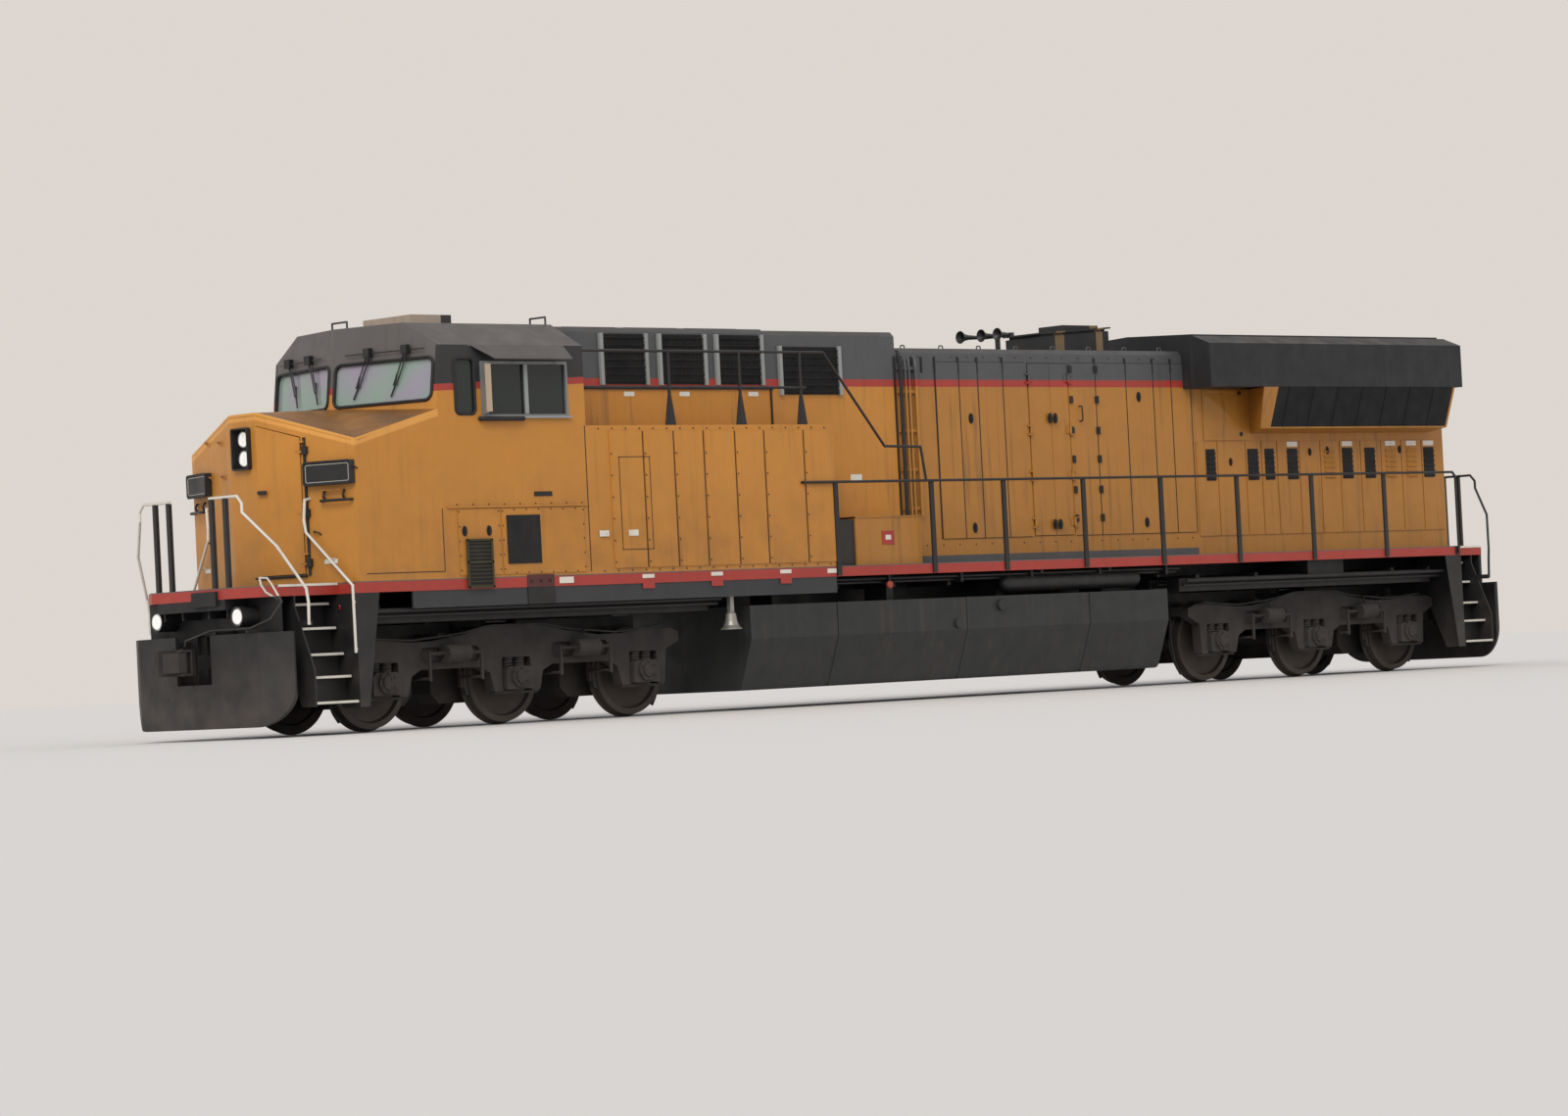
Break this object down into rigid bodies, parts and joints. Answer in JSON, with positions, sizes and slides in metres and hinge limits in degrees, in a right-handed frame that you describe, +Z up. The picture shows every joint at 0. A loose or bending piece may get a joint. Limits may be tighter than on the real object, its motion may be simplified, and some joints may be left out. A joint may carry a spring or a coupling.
{
  "type": "diesel locomotive",
  "caption": "Six-axle wide-nose freight diesel locomotive with separate cab, hoods, doors, trucks, wheelsets and couplers.",
  "frame": {"origin": "on the vehicle's centre line at mid length, level with the lowest points of the wheel flanges", "axes": "+X forward along the track, +Y to the vehicle's left, +Z up"},
  "size_m": [23.16, 3.45, 4.915],
  "materials": {
    "yellow_paint": "satin",
    "red_paint": "satin",
    "grey_paint": "satin",
    "black_paint": "matt",
    "white_paint": "satin",
    "cast_steel": "dusty",
    "wheel_steel": "worn",
    "bare_aluminium": "satin",
    "window_glass": "gloss",
    "lamp_glass": "gloss",
    "seat_cloth": "matt",
    "interior_grey": "matt",
    "bell_metal": "dull"
  },
  "bodies": {
    "carbody": {"underframe": "black_paint", "walkway_deck": "grey_paint", "side_sills": "red_paint", "fuel_tank": "black_paint", "air_reservoirs": "black_paint", "bell": "bell_metal", "front_pilot": "black_paint", "rear_pilot": "black_paint", "end_steps": "black_paint", "nose_shell": "yellow_paint", "cab_sides": "yellow_paint", "cab_rear_wall": "yellow_paint", "cab_front": "grey_paint", "cab_roof": "grey_paint", "cab_glass": "window_glass", "window_frames": "bare_aluminium", "cab_interior": "interior_grey", "cab_seats": "seat_cloth", "wipers": "black_paint", "lamp_housings": "black_paint", "lamp_lenses": "lamp_glass", "number_boards": "black_paint", "roof_fittings": "grey_paint", "grid_cab": "grey_paint", "grilles": "black_paint", "inverter_cabinet": "yellow_paint", "walkway_boxes": "yellow_paint", "engine_hood": "yellow_paint", "engine": "cast_steel", "exhaust_silencer": "grey_paint", "horn": "grey_paint", "radiator_cab": "yellow_paint", "radiator_wings": "grey_paint", "radiator_screens": "black_paint", "side_handrails": "black_paint", "front_handrails": "white_paint", "uncoupling_levers": "white_paint"},
    "front_truck": {"front_truck_frame": "cast_steel", "front_truck_gear": "cast_steel", "front_traction_motors": "cast_steel"},
    "rear_truck": {"rear_truck_frame": "cast_steel", "rear_truck_gear": "cast_steel", "rear_traction_motors": "cast_steel"},
    "front_coupler": {"front_coupler": "cast_steel"},
    "rear_coupler": {"rear_coupler": "cast_steel"},
    "front_knuckle": {"front_knuckle": "cast_steel"},
    "rear_knuckle": {"rear_knuckle": "cast_steel"},
    "nose_door": {"nose_door": "yellow_paint"},
    "cab_rear_door": {"cab_rear_door": "yellow_paint"},
    "hood_door_left_front": {"hood_door_left_front": "yellow_paint"},
    "hood_door_left_rear": {"hood_door_left_rear": "yellow_paint"},
    "hood_door_right_front": {"hood_door_right_front": "yellow_paint"},
    "hood_door_right_rear": {"hood_door_right_rear": "yellow_paint"},
    "wheelset_1": {"wheelset_1": "wheel_steel"},
    "wheelset_2": {"wheelset_2": "wheel_steel"},
    "wheelset_3": {"wheelset_3": "wheel_steel"},
    "wheelset_4": {"wheelset_4": "wheel_steel"},
    "wheelset_5": {"wheelset_5": "wheel_steel"},
    "wheelset_6": {"wheelset_6": "wheel_steel"}
  },
  "joints": [
    {"name": "front_truck_swivel", "type": "hinge", "parent": "carbody", "child": "front_truck", "pos_m": [7.25, 0, 1.176], "axis": [0, 0, 1], "range_deg": [-3, 3]},
    {"name": "rear_truck_swivel", "type": "hinge", "parent": "carbody", "child": "rear_truck", "pos_m": [-7.25, 0, 1.176], "axis": [0, 0, 1], "range_deg": [-3, 3]},
    {"name": "wheelset_1_spin", "type": "hinge", "parent": "front_truck", "child": "wheelset_1", "pos_m": [9.26, 0, 0.561], "axis": [0, 1, 0], "continuous": true},
    {"name": "wheelset_2_spin", "type": "hinge", "parent": "front_truck", "child": "wheelset_2", "pos_m": [7.25, 0, 0.561], "axis": [0, 1, 0], "continuous": true},
    {"name": "wheelset_3_spin", "type": "hinge", "parent": "front_truck", "child": "wheelset_3", "pos_m": [5.24, 0, 0.561], "axis": [0, 1, 0], "continuous": true},
    {"name": "wheelset_4_spin", "type": "hinge", "parent": "rear_truck", "child": "wheelset_4", "pos_m": [-5.24, 0, 0.561], "axis": [0, 1, 0], "continuous": true},
    {"name": "wheelset_5_spin", "type": "hinge", "parent": "rear_truck", "child": "wheelset_5", "pos_m": [-7.25, 0, 0.561], "axis": [0, 1, 0], "continuous": true},
    {"name": "wheelset_6_spin", "type": "hinge", "parent": "rear_truck", "child": "wheelset_6", "pos_m": [-9.26, 0, 0.561], "axis": [0, 1, 0], "continuous": true},
    {"name": "front_coupler_swing", "type": "hinge", "parent": "carbody", "child": "front_coupler", "pos_m": [10.45, 0, 0.904], "axis": [0, 0, 1], "range_deg": [-7, 7]},
    {"name": "rear_coupler_swing", "type": "hinge", "parent": "carbody", "child": "rear_coupler", "pos_m": [-10.45, 0, 0.904], "axis": [0, 0, 1], "range_deg": [-7, 7]},
    {"name": "front_knuckle_open", "type": "hinge", "parent": "front_coupler", "child": "front_knuckle", "pos_m": [11.395, 0.12, 0.904], "axis": [0, 0, 1], "range_deg": [0, 35]},
    {"name": "rear_knuckle_open", "type": "hinge", "parent": "rear_coupler", "child": "rear_knuckle", "pos_m": [-11.395, -0.12, 0.904], "axis": [0, 0, 1], "range_deg": [0, 35]},
    {"name": "nose_door_hinge", "type": "hinge", "parent": "carbody", "child": "nose_door", "pos_m": [10.14524, 0.8471, 2.6], "axis": [0, 0, 1], "range_deg": [0, 90]},
    {"name": "cab_rear_door_hinge", "type": "hinge", "parent": "carbody", "child": "cab_rear_door", "pos_m": [6.348, -1.466, 2.7], "axis": [0, 0, 1], "range_deg": [0, 80]},
    {"name": "hood_door_left_front_hinge", "type": "hinge", "parent": "carbody", "child": "hood_door_left_front", "pos_m": [-1.814, 1.052, 3.19], "axis": [0, 0, -1], "range_deg": [0, 110]},
    {"name": "hood_door_left_rear_hinge", "type": "hinge", "parent": "carbody", "child": "hood_door_left_rear", "pos_m": [-2.566, 1.052, 3.19], "axis": [0, 0, 1], "range_deg": [0, 110]},
    {"name": "hood_door_right_front_hinge", "type": "hinge", "parent": "carbody", "child": "hood_door_right_front", "pos_m": [-1.814, -1.052, 3.19], "axis": [0, 0, 1], "range_deg": [0, 110]},
    {"name": "hood_door_right_rear_hinge", "type": "hinge", "parent": "carbody", "child": "hood_door_right_rear", "pos_m": [-2.566, -1.052, 3.19], "axis": [0, 0, -1], "range_deg": [0, 110]}
  ]
}
